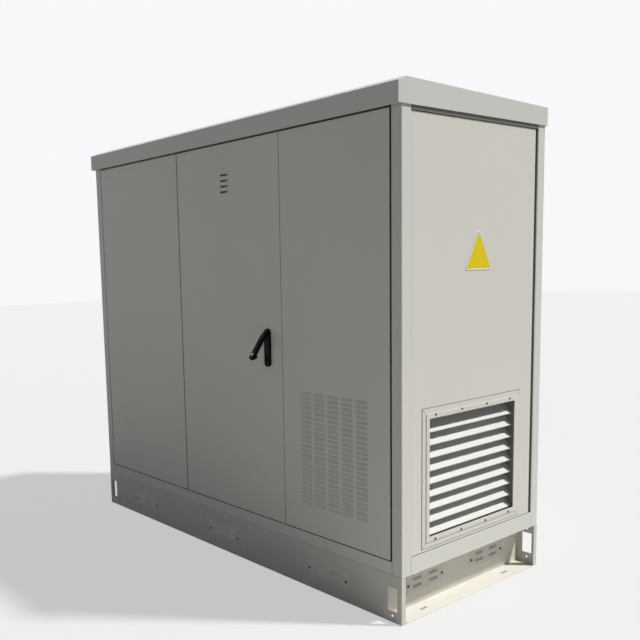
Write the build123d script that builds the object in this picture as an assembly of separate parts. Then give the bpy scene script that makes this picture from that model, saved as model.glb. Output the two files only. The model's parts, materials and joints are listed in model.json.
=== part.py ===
from build123d import *
import math
import os

# Roadside utility cabinet: a folded sheet metal housing with three front doors on a ventilated plinth.
# Millimetres. +X runs along the front to the right, the doors face -Y, +Z is up.
# The origin is the middle of the footprint, on the ground.

# Overall sizes
body_length = 2400.0
body_depth = 1000.0
plinth_height = 208.0
frame_height = 2150.0

# Sheet metal
sheet = 2.0
plinth_sheet = 3.0
thin_sheet = 1.5
bend_radius = 2.5
running_gap = 0.3

# Roof
roof_rim_bottom = 2085.0
roof_rim_height = 82.0
roof_ridge_rise = 20.0
roof_ridge_setback = 21.0
roof_front_overhang = 25.0
roof_end_overhang = 6.0
roof_rear_overhang = 9.0
roof_drip_width = 15.0
roof_rib_from_end = 50.0
roof_rib_thickness = 3.0

# Posts, rails and rebates
post_front_width = 53.0
post_side_front = 60.0
post_side_rear = 57.0
post_back_width = 57.0
gutter_depth = 36.0
lip_inset = 40.0
lip_height = 20.5
front_rail_height = 53.0
front_opening_top = 2084.0
rebate_depth = 26.0
rebate_width = 25.0
panel_opening_bottom = 278.0
panel_opening_top = 2068.0
ring_border = 70.0
cross_web_width = 60.0

# Door leaves
hinge_gap = 7.0
meeting_gap = 3.0
leaf_end_gap = 4.0
left_leaf_share = 811.5 / 2270
centre_leaf_share = 809.0 / 2270
leaf_depth = 25.0
leaf_corner_radius = 2.0
seal_width = 14.0
stiffener_height = 60.0
stiffener_depth = 12.0
stiffener_flange = 15.0
stiffener_end_inset = 60.0
centre_stiffener_low = 355.0
centre_stiffener_high = 440.0
side_stiffener_low = 745.0
side_stiffener_high = 520.0

# Hinges
pivot_inset = 12.0
pin_radius = 4.0
pin_clearance = 0.05
barrel_radius = 6.5
bracket_height = 40.0
knuckle_height = 20.0
knuckle_gap = 0.4
hinge_end_distance = 200.0
bracket_reach = 24.0
bracket_foot = 4.0
hinge_plate_thickness = 3.0
hinge_plate_width = 32.0
notch_clearance = 2.0

# Latches
keep_drop = 74.0
keep_sheet = 3.0
keep_width = 40.0
keep_front = 30.0
keep_hole_width = 24.0
keep_hole_depth = 13.0
shoot_line = 17.5
shoot_overlap = 12.0
shoot_travel = 28.28
handle_edge_distance = 95.5
handle_pivot_height = 1172.0
cam_pin_circle = 20.0
rod_offset = 17.0
rod_width = 22.0
rod_thickness = 4.0
bolt_radius = 5.0
bolt_length = 215.0
bolt_edge_distance = 80.0
bolt_guide_length = 20.0
bolt_guide_width = 28.0
bolt_guide_places = (45.0, 165.0)
knob_distance = 85.0
rod_guide_width = 36.0
rod_guide_height = 16.0
rod_guide_spacing = 36.0
rod_guide_wall = 3.0
guide_clearance = 0.5

# Swing handle
handle_plate_width = 40.0
handle_plate_length = 180.0
handle_plate_thickness = 12.0
handle_plate_above_pivot = 20.0
spindle_radius = 8.0
turning_clearance = 0.06
hub_radius = 16.0
hub_thickness = 2.2
lever_pin_radius = 2.5
lever_pin_height = 20.0
lever_length = 146.0
lever_width = 28.0
lever_thickness = 16.5
lever_root_width = 13.4
lever_root_radius = 5.1
lever_edge_radius = 5.0
lever_lift = 37.0
ear_thickness = 4.0
lock_from_lever_end = 24.0
lock_radius = 7.0
collar_radius = 10.0
collar_clearance = 3.2

# Plinth
plinth_flange = 50.0
plinth_return = 25.0
plinth_recess = 100.0
cut_out_width = 50.0
cut_out_height = 100.0
cut_out_from_end = 50.0
cut_out_centre_height = 102.0
cut_out_hole_radius = 5.0
cut_out_hole_offset = 71.5
beam_half_width = 30.0
anchor_slot_width = 14.0
anchor_slot_length = 45.0
anchor_slot_spacing = 600.0
vent_plate_width = 250.0
vent_plate_height = 86.0
vent_plate_sheet = 2.0
vent_centre_height = 104.5
vent_slot_length = 60.0
vent_slot_width = 14.0
vent_slot_spacing_x = 108.0
vent_slot_spacing_z = 33.0
vent_screw_spacing = 232.0
vent_screw_drop = 7.0
vent_window_width = 190.0
vent_window_height = 62.0
vent_mesh_thickness = 1.0
front_vent_pitch = 770.0
end_vent_pitch = 452.0
screw_head_width = 10.0
screw_head_height = 3.0
screw_shank_radius = 2.9

# End louvre window
window_centre_y = -17.0
window_centre_z = 591.5
window_width = 630.0
window_height = 522.0
window_lip = 8.0
cover_flange = 36.0
insert_flange = 12.0
insert_sheet = 3.0
tunnel_depth = 58.0
blade_count = 9
blade_pitch = 55.2
blade_depth = 40.0
blade_fall = 38.0
blade_inner_lip = 14.0
blade_hem = 3.0
blade_setback = 15.0
blade_end_gap = 2.0
tray_depth = 16.0
tray_border = 14.0
mat_depth = 12.0

# Pressed louvres in the right leaf
louvre_columns = 5
louvre_rows = 24
louvre_column_pitch = 85.0
louvre_row_pitch = 22.0
louvre_width = 62.0
louvre_height = 14.0
louvre_rise = 7.0
louvre_wall = 1.8
louvre_field_height = 395.0

# Slots near the top of the centre leaf
top_vent_drop = 190.5
top_vent_count = 4
top_vent_pitch = 27.0
top_vent_length = 60.0
top_vent_width = 10.0
baffle_width = 110.0
baffle_height = 150.0

# Equipment rails, floor plates and earth bar
floor_sheet = 3.0
floor_margin = 15.0
cable_slot_share = 0.47
cable_slot_from_edge = 30.0
cable_slot_width = 120.0
cable_slot_y = 230.0
rail_flange = 30.0
rail_face_spacing = 480.0
rail_y = -380.0
rail_hole = 9.5
rail_hole_pitch = 44.45
earth_bar_length = 600.0
earth_bar_height = 30.0
earth_bar_thickness = 5.0
earth_bar_z = 289.5
standoff_length = 30.0
standoff_radius = 10.0

# Places worked out from the sizes above
end_x = body_length / 2
front_y = -body_depth / 2
back_y = body_depth / 2
frame_bottom = plinth_height + sheet
frame_top = frame_height - sheet
opening_x = end_x - post_front_width
opening_z0 = plinth_height + front_rail_height
opening_z1 = front_opening_top
gutter_y = front_y + gutter_depth
lip_y = gutter_y - lip_height
leaf_z0 = opening_z0 + leaf_end_gap
leaf_z1 = opening_z1 - leaf_end_gap
lip_z0 = leaf_z0 + lip_inset
lip_z1 = leaf_z1 - lip_inset
leaf_total = 2 * opening_x - 3 * hinge_gap - meeting_gap
left_leaf = (-opening_x + hinge_gap, -opening_x + hinge_gap + leaf_total * left_leaf_share)
centre_leaf = (left_leaf[1] + hinge_gap, left_leaf[1] + hinge_gap + leaf_total * centre_leaf_share)
right_leaf = (centre_leaf[1] + meeting_gap, opening_x - hinge_gap)
leaves = (left_leaf, centre_leaf, right_leaf)
left_mullion_x = (left_leaf[1] + centre_leaf[0]) / 2
right_mullion_x = (centre_leaf[1] + right_leaf[0]) / 2
panel_face_x = end_x - rebate_depth
panel_face_y = back_y - rebate_depth
pivot_y = front_y + pivot_inset
hinge_heights = (leaf_z0 + hinge_end_distance, (leaf_z0 + leaf_z1) / 2, leaf_z1 - hinge_end_distance)
shoot_y = front_y + shoot_line
handle_centre_x = centre_leaf[1] - handle_edge_distance
lever_pin_y = front_y - lever_pin_height
lever_under_y = front_y - handle_plate_thickness - 2 * running_gap
lever_crest_y = lever_under_y - lever_thickness
lock_spot = (handle_centre_x, handle_pivot_height - lever_length + lock_from_lever_end)
collar_end_y = front_y - 2 * running_gap
keep_top = opening_z1 - keep_drop
keep_bottom = opening_z0 + keep_drop
shoot_top = keep_top + keep_sheet + shoot_overlap
shoot_bottom = keep_bottom - keep_sheet - shoot_overlap

axes = {"x": Vector(1, 0, 0), "y": Vector(0, 1, 0), "z": Vector(0, 0, 1)}


def prism(outline, axis, start, end):
    """Extrude a closed line, drawn in the other two axes in X, Y, Z order, from start to end."""
    if axis == "x":
        plane = Plane(origin=(start, 0, 0), x_dir=(0, 1, 0), z_dir=(1, 0, 0))
    elif axis == "y":
        plane = Plane(origin=(0, start, 0), x_dir=(1, 0, 0), z_dir=(0, -1, 0))
    else:
        plane = Plane(origin=(0, 0, start), x_dir=(1, 0, 0), z_dir=(0, 0, 1))
    return extrude(plane * make_face(outline), amount=end - start, dir=axes[axis])


def block(x0, x1, y0, y1, z0, z1):
    """A box between two corners."""
    return Pos((x0 + x1) / 2, (y0 + y1) / 2, (z0 + z1) / 2) * Box(x1 - x0, y1 - y0, z1 - z0)


def rod(axis, radius, centre, start, end):
    """A cylinder along an axis, its centre given in the other two axes."""
    turn = {"x": Rot(0, 90, 0), "y": Rot(90, 0, 0), "z": Rot(0, 0, 0)}[axis]
    a, b = centre
    middle = (start + end) / 2
    place = {"x": (middle, a, b), "y": (a, middle, b), "z": (a, b, middle)}[axis]
    return Pos(*place) * turn * Cylinder(radius, abs(end - start))


def side_points(points, thickness):
    """The points of an open line moved to its left by the thickness, with mitred corners."""
    moved = []
    for i, (x, y) in enumerate(points):
        normals = []
        for a, b in ((i - 1, i), (i, i + 1)):
            if a >= 0 and b < len(points):
                dx = points[b][0] - points[a][0]
                dy = points[b][1] - points[a][1]
                size = math.hypot(dx, dy)
                normals.append((-dy / size, dx / size))
        nx = sum(n[0] for n in normals) / len(normals)
        ny = sum(n[1] for n in normals) / len(normals)
        scale = thickness / (nx * nx + ny * ny)
        moved.append((x + nx * scale, y + ny * scale))
    return moved


def bend_radii(points, thickness, bend):
    """Radii for each outline corner: none at the free ends, the bend inside and bend plus sheet outside."""
    radii = [0.0] * len(points)
    for i in range(1, len(points) - 1):
        ax = points[i][0] - points[i - 1][0]
        ay = points[i][1] - points[i - 1][1]
        bx = points[i + 1][0] - points[i][0]
        by = points[i + 1][1] - points[i][1]
        turns_left = ax * by - ay * bx > 0
        radii[i] = bend + thickness if turns_left else bend
    inner = [r if r == 0 else 2 * bend + thickness - r for r in radii]
    return radii + inner[::-1]


def folded(points, thickness, axis, start, end, bend=0.0):
    """A folded sheet: the line is its right-hand face, and the sheet lies to the left of it."""
    outline = points + side_points(points, thickness)[::-1]
    if bend:
        line = FilletPolyline(*outline, radius=bend_radii(points, thickness, bend), close=True)
    else:
        line = Polyline(*outline, close=True)
    return prism(line, axis, start, end)


def opposite(shape):
    """The same piece at the other end of the cabinet."""
    return mirror(shape, about=Plane.YZ)


def rect(a0, a1, b0, b1):
    """A closed rectangle between two corners."""
    return Polyline((a0, b0), (a1, b0), (a1, b1), (a0, b1), close=True)


def obround(axis, start, end, centre, length, width, along_first=True):
    """A long slot with round ends, cut along an axis."""
    a, b = centre
    half = (length - width) / 2
    da, db = (half, 0) if along_first else (0, half)
    w = width / 2
    middle = rect(a - (da or w), a + (da or w), b - (db or w), b + (db or w))
    ends = [rod(axis, w, (a + s * da, b + s * db), start, end) for s in (-1, 1)]
    return prism(middle, axis, start, end) + ends


def frame_ring(axis, start, end, outer, inner):
    """A flat ring between two rectangles, each given as low and high in the two other axes."""
    return prism(rect(*outer), axis, start, end) - prism(rect(*inner), axis, start - 1, end + 1)


def pan(axis, face, depth, thickness, a0, a1, b0, b1, radius=0.0):
    """A tray folded from one sheet: its face at 'face' and its edges turned back by 'depth'."""
    back = face + depth
    inside = face + math.copysign(thickness, depth)
    outer = prism(rect(a0, a1, b0, b1), axis, face, back)
    if radius:
        lines = [e for e in outer.edges() if abs(getattr(e.center(), axis.upper()) - face) < 0.01]
        outer = fillet(lines, radius)
    t = thickness
    hollow = prism(rect(a0 + t, a1 - t, b0 + t, b1 - t), axis, inside, back + math.copysign(1, depth))
    return outer - hollow


# Plinth


def vent_screw_places(centre):
    """Where a vent plate's two screws go, along the panel and up."""
    height = vent_centre_height - vent_screw_drop
    return [(centre + s * vent_screw_spacing / 2, height) for s in (-1, 1)]


def vent_windows(axis, centres, start, end):
    """Openings in a plinth sheet, one behind each vent plate."""
    w, h = vent_window_width / 2, vent_window_height / 2
    z = vent_centre_height
    return [prism(rect(c - w, c + w, z - h, z + h), axis, start, end) for c in centres]


def vent_plate(axis, centre, start, end):
    """A small cover with two rows of long slots and two screw holes."""
    w, h = vent_plate_width / 2, vent_plate_height / 2
    z = vent_centre_height
    plate = prism(rect(centre - w, centre + w, z - h, z + h), axis, start, end)
    for sa in (-1, 1):
        for sb in (-1, 1):
            spot = (centre + sa * vent_slot_spacing_x / 2, z + sb * vent_slot_spacing_z / 2)
            plate -= obround(axis, start - 1, end + 1, spot, vent_slot_length, vent_slot_width)
    for spot in vent_screw_places(centre):
        plate -= rod(axis, screw_shank_radius + 0.1, spot, start - 1, end + 1)
    return plate


def plinth_long_panel():
    """The front plinth panel: a channel with lifting cut-outs, vent openings and turned ends."""
    f = front_y
    line = [(f + plinth_flange, plinth_height), (f, plinth_height), (f, 0), (f + plinth_flange, 0)]
    panel = folded(line, plinth_sheet, "x", -end_x, end_x, bend_radius)
    r = bend_radius + plinth_sheet
    corners = [(f + plinth_return, 0), (f, 0), (f, plinth_height), (f + plinth_return, plinth_height)]
    turned = FilletPolyline(*corners, radius=[0, r, r, 0], close=True)
    for s in (-1, 1):
        inner = s * (end_x - plinth_sheet)
        x0, x1 = sorted((inner, s * end_x))
        panel += prism(turned, "x", x0, x1)
        x = s * (end_x - cut_out_from_end)
        w, h, z = cut_out_width / 2, cut_out_height / 2, cut_out_centre_height
        panel -= block(x - w, x + w, f - 1, f + plinth_sheet + 1, z - h, z + h)
        for sz in (-1, 1):
            spot = (x, z + sz * cut_out_hole_offset)
            panel -= rod("y", cut_out_hole_radius, spot, f - 1, f + plinth_sheet + 1)
    return panel - vent_windows("y", front_vent_centres(), f - 1, f + plinth_sheet + 1)


def front_vent_centres():
    return [i * front_vent_pitch for i in (-1, 0, 1)]


def end_vent_centres():
    return [s * end_vent_pitch / 2 for s in (-1, 1)]


def plinth_channel(web_x, flange):
    """A channel across the plinth: its web at web_x and its flanges towards +X."""
    line = [(web_x + flange, plinth_height), (web_x, plinth_height), (web_x, 0), (web_x + flange, 0)]
    long = back_y - plinth_flange
    channel = folded(line, plinth_sheet, "y", -long, long)
    deep = back_y - plinth_sheet
    t = plinth_sheet
    return channel + block(web_x, web_x + t, -deep, deep, t, plinth_height - t)


def plinth_end():
    """The right end: a recessed web with two vent openings, its foot slotted for the ground anchors."""
    web = end_x - plinth_recess - plinth_sheet
    piece = plinth_channel(web, plinth_recess + plinth_sheet)
    piece -= vent_windows("x", end_vent_centres(), web - 1, web + plinth_sheet + 1)
    for s in (-1, 1):
        spot = (end_x - plinth_recess / 2, s * anchor_slot_spacing / 2)
        piece -= obround("z", -1, plinth_sheet + 1, spot, anchor_slot_length, anchor_slot_width, False)
    return piece


def hexagon(axis, width, spot, start, end):
    """A hexagon bar, its width across the flats."""
    radius = width / math.sqrt(3)
    turns = [math.radians(60 * i) for i in range(6)]
    corners = [(spot[0] + radius * math.cos(t), spot[1] + radius * math.sin(t)) for t in turns]
    return prism(Polyline(*corners, close=True), axis, start, end)


def plinth_screw(axis, spot, face, outwards):
    """A hexagon head screw whose head lies on a vent plate."""
    top = face + outwards * vent_plate_sheet
    ends = sorted((top, top + outwards * screw_head_height))
    head = hexagon(axis, screw_head_width, spot, *ends)
    return head + rod(axis, screw_shank_radius, spot, *sorted((face, top)))


def plinth_vents():
    """All vent plates, all their screws and the insect meshes behind them, as lists of solids."""
    plates = []
    screws = []
    meshes = []
    w, h = vent_window_width / 2 - running_gap, vent_window_height / 2 - running_gap
    z = vent_centre_height
    web = end_x - plinth_recess
    rows = [("y", front_y, -1, front_vent_centres()), ("y", back_y, 1, front_vent_centres())]
    rows += [("x", web, 1, end_vent_centres()), ("x", -web, -1, end_vent_centres())]
    for axis, face, outwards, centres in rows:
        start, end = sorted((face, face + outwards * vent_plate_sheet))
        back = sorted((face, face - outwards * vent_mesh_thickness))
        for centre in centres:
            meshes.append(prism(rect(centre - w, centre + w, z - h, z + h), axis, *back))
            plates.append(vent_plate(axis, centre, start, end))
            screws += [plinth_screw(axis, spot, face, outwards) for spot in vent_screw_places(centre)]
    return plates, screws, meshes


# Welded base and top frames


def window_spans():
    """The three bays between the ring's borders and the cross webs, low and high in X."""
    half = cross_web_width / 2
    edge = end_x - ring_border
    cuts = [-edge, left_mullion_x - half, left_mullion_x + half, right_mullion_x - half, right_mullion_x + half, edge]
    return [(cuts[0], cuts[1]), (cuts[2], cuts[3]), (cuts[4], cuts[5])]


def ring_plate(z0):
    """A flat ring with two cross webs that ties the posts together."""
    plate = block(-end_x, end_x, front_y, back_y, z0, z0 + sheet)
    deep = back_y - ring_border
    for x0, x1 in window_spans():
        plate -= block(x0, x1, -deep, deep, z0 - 1, z0 + sheet + 1)
    return plate


def lip_strips(z0):
    """The level parts of the sealing lips, one in front of each leaf's edge."""
    return [block(a + lip_inset, b - lip_inset, lip_y, gutter_y, z0, z0 + sheet) for a, b in leaves]


def base_frame():
    """The ring under the floor with its front, rear and end rails."""
    web_top = lip_z0 + sheet
    line = [(gutter_y, web_top), (gutter_y, opening_z0), (front_y, opening_z0), (front_y, frame_bottom)]
    front = folded(line, sheet, "x", -opening_x, opening_x)
    opening = panel_opening_bottom
    top = opening + rebate_width
    rear_x = end_x - post_back_width
    line = [(back_y, frame_bottom), (back_y, opening), (panel_face_y, opening), (panel_face_y, top)]
    rear = folded(line, sheet, "x", -rear_x, rear_x)
    line = [(end_x, frame_bottom), (end_x, opening), (panel_face_x, opening), (panel_face_x, top)]
    end = folded(line, sheet, "y", front_y + post_side_front, back_y - post_side_rear)
    return ring_plate(plinth_height) + front + lip_strips(lip_z0) + rear + end + opposite(end)


def top_frame():
    """The ring under the roof with its front, rear and end rails."""
    web_bottom = lip_z1 - sheet
    line = [(front_y, frame_top), (front_y, opening_z1), (gutter_y, opening_z1), (gutter_y, web_bottom)]
    front = folded(line, sheet, "x", -opening_x, opening_x)
    opening = panel_opening_top
    low = opening - rebate_width
    rear_x = end_x - post_back_width
    line = [(panel_face_y, low), (panel_face_y, opening), (back_y, opening), (back_y, frame_top)]
    rear = folded(line, sheet, "x", -rear_x, rear_x)
    line = [(panel_face_x, low), (panel_face_x, opening), (end_x, opening), (end_x, frame_top)]
    end = folded(line, sheet, "y", front_y + post_side_front, back_y - post_side_rear)
    return ring_plate(frame_top) + front + lip_strips(web_bottom) + rear + end + opposite(end)


# Posts and mullions


def front_post():
    """The right front post, with the gutter beside the door and the rebate for the end panel."""
    side_y = front_y + post_side_front
    line = [(opening_x, gutter_y + sheet), (opening_x, front_y), (end_x, front_y)]
    line += [(end_x, side_y), (panel_face_x, side_y)]
    post = folded(line, sheet, "z", frame_bottom, frame_top, bend_radius)
    lip_x = right_leaf[1] - lip_inset
    line = [(lip_x, lip_y), (lip_x, gutter_y), (opening_x + sheet, gutter_y)]
    post += folded(line, sheet, "z", lip_z0 + sheet, lip_z1 - sheet)
    z0, z1 = panel_opening_bottom + rebate_width, panel_opening_top - rebate_width
    low = side_y - sheet
    return post + block(panel_face_x - sheet, panel_face_x, low, side_y + rebate_width, z0, z1)


def rear_post():
    """The right rear post, with rebates for the end panel and the rear panel."""
    side_y = back_y - post_side_rear
    back_x = end_x - post_back_width
    line = [(panel_face_x, side_y), (end_x, side_y), (end_x, back_y), (back_x, back_y), (back_x, panel_face_y)]
    post = folded(line, sheet, "z", frame_bottom, frame_top, bend_radius)
    z0, z1 = panel_opening_bottom + rebate_width, panel_opening_top - rebate_width
    post += block(panel_face_x - sheet, panel_face_x, side_y - rebate_width, side_y + sheet, z0, z1)
    low = back_x - rebate_width
    return post + block(low, back_x + sheet, panel_face_y - sheet, panel_face_y, z0, z1)


def mullion(left_edge, right_edge):
    """The upright behind a joint between two leaves: a channel whose flanges are sealing lips."""
    a = left_edge - lip_inset
    b = right_edge + lip_inset
    line = [(a, lip_y), (a, gutter_y), (b, gutter_y), (b, lip_y)]
    return folded(line, sheet, "z", lip_z0 + sheet, lip_z1 - sheet)


def rear_mullion():
    """The upright behind the joint between the two rear panels."""
    w, y = cross_web_width / 2, panel_face_y
    line = [(w, y - rebate_width), (w, y), (-w, y), (-w, y - rebate_width)]
    z0, z1 = panel_opening_bottom + rebate_width, panel_opening_top - rebate_width
    return folded(line, sheet, "z", z0, z1)


# Panels, floor and roof


def end_panel():
    """The right end panel, set a little behind the posts."""
    y0 = front_y + post_side_front + sheet
    y1 = back_y - post_side_rear - rebate_width * 0.6
    z0 = panel_opening_bottom + sheet
    z1 = panel_opening_top - sheet
    depth = rebate_depth - 2 * sheet
    face = panel_face_x + depth
    return pan("x", face, -depth, sheet, y0, y1, z0, z1, leaf_corner_radius)


def window_rect(grow):
    """The louvre window's outline, grown on every side."""
    w, h = window_width / 2 + grow, window_height / 2 + grow
    return window_centre_y - w, window_centre_y + w, window_centre_z - h, window_centre_z + h


def rear_panel():
    """The right one of the two rear panels."""
    x1 = end_x - post_back_width - sheet
    z0, z1 = panel_opening_bottom + sheet, panel_opening_top - sheet
    depth = rebate_depth - sheet
    return pan("y", panel_face_y + depth, -depth, sheet, sheet, x1, z0, z1)


def floor_plate(span):
    """A floor plate over one bay, with an opening where the cables come up, clear of the plinth's beam."""
    x0, x1 = span[0] - floor_margin, span[1] + floor_margin
    deep = back_y - ring_border + floor_margin
    plate = block(x0, x1, -deep, deep, frame_bottom, frame_bottom + floor_sheet)
    low = max(span[0], beam_half_width) if span[1] > 0 else span[0]
    middle = (low + span[1]) / 2
    w = min(cable_slot_share * (span[1] - span[0]), span[1] - low - 2 * cable_slot_from_edge) / 2
    h = cable_slot_width / 2
    z0, z1 = frame_bottom - 1, frame_bottom + floor_sheet + 1
    return plate - block(middle - w, middle + w, cable_slot_y - h, cable_slot_y + h, z0, z1)


def roof_profile():
    """The roof's end view: the rim, a narrow slope at the front edge and a long fall to the rear."""
    top = roof_rim_bottom + roof_rim_height
    y0 = front_y - roof_front_overhang
    y1 = back_y + roof_rear_overhang
    ridge = (front_y + roof_ridge_setback, top + roof_ridge_rise)
    return [(y1, roof_rim_bottom), (y1, top), ridge, (y0, top), (y0, roof_rim_bottom)]


def roof():
    """The roof: a folded tray with a drip edge at the front and ribs that stand on the top frame."""
    outer = roof_profile()
    inner = side_points(outer, sheet)
    half = end_x + roof_end_overhang
    shell = prism(Polyline(*outer, close=True), "x", -half, half)
    shell = fillet([e for e in shell.edges() if e.center().Z > roof_rim_bottom + 1], bend_radius)
    low = roof_rim_bottom - 1
    inner = [(inner[0][0], low)] + inner[1:-1] + [(inner[-1][0], low)]
    hollow = prism(Polyline(*inner, close=True), "x", -half + sheet, half - sheet)
    shell -= hollow
    y0 = front_y - roof_front_overhang
    z0 = roof_rim_bottom
    corner = half - bend_radius
    shell += block(-corner, corner, y0, y0 + roof_drip_width, z0, z0 + sheet)
    rib = [(inner[0][0], frame_height)] + inner[1:-1] + [(inner[-1][0], frame_height)]
    edge = end_x - roof_rib_from_end
    for x in (-edge, left_mullion_x, right_mullion_x, edge):
        t = roof_rib_thickness / 2
        shell += prism(Polyline(*rib, close=True), "x", x - t, x + t)
    return shell


# End louvre window


def louvre_cover_frame():
    """The flat ring that is riveted to the end panel round the window."""
    face = end_x - 2 * sheet
    return frame_ring("x", face, face + sheet, window_rect(cover_flange), window_rect(0))


def louvre_insert():
    """The welded insert: a screwed flange that overlaps the tunnel, which carries the blades."""
    face = end_x - sheet
    flange = frame_ring("x", face, face + insert_sheet, window_rect(insert_flange), window_rect(-window_lip))
    tunnel = frame_ring("x", face - tunnel_depth, face, window_rect(0), window_rect(-sheet))
    return flange + tunnel


def louvre_blades():
    """The sloping blades, each folded from a strip and standing between the tunnel's walls."""
    y0, y1 = window_rect(-sheet)[:2]
    z0 = window_rect(-window_lip)[2]
    x1 = end_x - sheet + insert_sheet - blade_setback
    x0 = x1 - blade_depth
    blades = []
    for i in range(blade_count):
        z = z0 + blade_end_gap + i * blade_pitch
        top = z + blade_hem + blade_fall
        line = [(x1, z), (x1, z + blade_hem), (x0, top), (x0, top + blade_inner_lip)]
        if i == blade_count - 1:
            line = line[:3]
        blades.append(folded(line, thin_sheet, "y", y0, y1))
    return blades


def filter_tray():
    """The tray behind the tunnel that holds the filter mat."""
    x1 = end_x - sheet - tunnel_depth
    x0 = x1 - tray_depth
    ring = frame_ring("x", x0, x1, window_rect(0), window_rect(-sheet))
    return ring + frame_ring("x", x0, x0 + sheet, window_rect(0), window_rect(-tray_border))


def filter_mat():
    """The filter mat, lying in its tray."""
    x0 = end_x - sheet - tunnel_depth - tray_depth + sheet
    return prism(rect(*window_rect(-sheet - running_gap)), "x", x0, x0 + mat_depth)


def louvre_screws():
    """The screws that hold the insert, along its top and bottom flange."""
    y0, y1, z0, z1 = window_rect(insert_flange / 2)
    face = end_x - sheet + insert_sheet
    count = 4
    screws = []
    for z in (z0, z1):
        for i in range(count):
            y = y0 + (y1 - y0) * (i + 0.3) / (count - 0.4)
            screws.append(rod("x", 4.5, (y, z), face, face + 2.2))
    return screws


# Doors


def stiffener(x0, x1, z):
    """A hat section spot-welded across the back of a leaf."""
    skin = front_y + sheet + thin_sheet
    crown = front_y + sheet + stiffener_depth
    h, f = stiffener_height / 2, stiffener_flange
    line = [(skin, z - h - f), (skin, z - h), (crown, z - h), (crown, z + h), (skin, z + h), (skin, z + h + f)]
    return folded(line, thin_sheet, "x", x0 + stiffener_end_inset, x1 - stiffener_end_inset)


def leaf(span, pivot_x, stiffener_heights):
    """A door leaf: one folded tray, notched at its hinges, with stiffeners on its back."""
    x0, x1 = span
    door = pan("y", front_y, leaf_depth, sheet, x0, x1, leaf_z0, leaf_z1, leaf_corner_radius)
    edge = x0 if pivot_x < (x0 + x1) / 2 else x1
    half = bracket_height / 2 + notch_clearance
    for z in hinge_heights:
        y0, y1 = front_y + pivot_inset / 2, front_y + leaf_depth + 1
        door -= block(edge - sheet - 1, edge + sheet + 1, y0, y1, z - half, z + half)
    for z in stiffener_heights:
        door += stiffener(x0, x1, z)
    return door


def pivot_of(span, left_hinged):
    """The hinge line of a leaf in X."""
    return span[0] + pivot_inset if left_hinged else span[1] - pivot_inset


def seal(span):
    """The rubber seal on the back of a leaf, opposite the sealing lips."""
    x0, x1 = span
    out = lip_inset - seal_width / 2
    inn = lip_inset + seal_width / 2
    outer = (x0 + out, x1 - out, leaf_z0 + out, leaf_z1 - out)
    inner = (x0 + inn, x1 - inn, leaf_z0 + inn, leaf_z1 - inn)
    return frame_ring("y", front_y + sheet, lip_y - running_gap, outer, inner)


def to_pivot(shape, pivot_x, left_hinged):
    """Place a hinge piece drawn about its own axis, turned over for a leaf hinged on the right."""
    if not left_hinged:
        shape = mirror(shape, about=Plane.YZ)
    return Pos(pivot_x, pivot_y, 0) * shape


def hinge_bracket(z):
    """The frame half of a hinge: a barrel on a web with a foot in the gutter."""
    depth = gutter_y - pivot_y
    z0, z1 = z - bracket_height / 2, z + bracket_height / 2
    web = prism(rect(0.5, barrel_radius, 0, depth), "z", z0, z1)
    foot = prism(rect(0.5, bracket_reach, depth - bracket_foot, depth), "z", z0, z1)
    hole = rod("z", pin_radius + pin_clearance, (0, 0), z0 - 1, z1 + 1)
    return rod("z", barrel_radius, (0, 0), z0, z1) + web + foot - hole


def hinge_plate(z):
    """The leaf half of a hinge: a plate on the leaf's back with a knuckle above and below the bracket."""
    inner = sheet + hinge_plate_thickness - pivot_inset
    z_in = bracket_height / 2 + knuckle_gap
    z_out = z_in + knuckle_height
    u0 = sheet - pivot_inset
    plate = prism(rect(u0, u0 + hinge_plate_width - sheet, sheet - pivot_inset, inner), "z", z - z_out, z + z_out)
    for s in (-1, 1):
        a, b = sorted((z + s * z_in, z + s * z_out))
        knuckle = rod("z", barrel_radius, (0, 0), a, b)
        knuckle += prism(rect(-barrel_radius, barrel_radius, inner - 0.5, 0), "z", a, b)
        plate += knuckle - rod("z", pin_radius + pin_clearance, (0, 0), a - 1, b + 1)
    return plate


def hinge_pin(z):
    """A headed pin through the bracket and both knuckles."""
    end = bracket_height / 2 + knuckle_gap + knuckle_height
    pin = rod("z", pin_radius, (0, 0), z - end - 2, z + end + running_gap)
    return pin + rod("z", pin_radius + 2, (0, 0), z + end + running_gap, z + end + running_gap + 2)


def keep(x, upper):
    """An angle on the frame with a hole for a shoot bolt."""
    bend_y = gutter_y + sheet + keep_sheet
    z = keep_top
    line = [(front_y + leaf_depth - keep_front + 11, z), (bend_y, z), (bend_y, opening_z1 - 9)]
    w = keep_width / 2
    piece = folded(line, keep_sheet, "x", x - w, x + w)
    hw, hd = keep_hole_width / 2, keep_hole_depth / 2
    piece -= block(x - hw, x + hw, shoot_y - hd, shoot_y + hd, z - 1, z + keep_sheet + 1)
    if upper:
        return piece
    middle = (opening_z0 + opening_z1) / 2
    return mirror(piece, about=Plane(origin=(0, 0, middle), z_dir=(0, 0, 1)))


def bolt_guides(x, upper):
    """Two guide blocks on a leaf's back for a sliding bolt."""
    guides = []
    tip = shoot_top if upper else shoot_bottom
    way = -1 if upper else 1
    w = bolt_guide_width / 2
    for distance in bolt_guide_places:
        a, b = sorted((tip + way * distance, tip + way * (distance + bolt_guide_length)))
        guide = block(x - w, x + w, front_y + sheet, front_y + leaf_depth + 1, a, b)
        guides.append(guide - rod("z", bolt_radius + running_gap, (x, shoot_y), a - 1, b + 1))
    return guides


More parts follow.
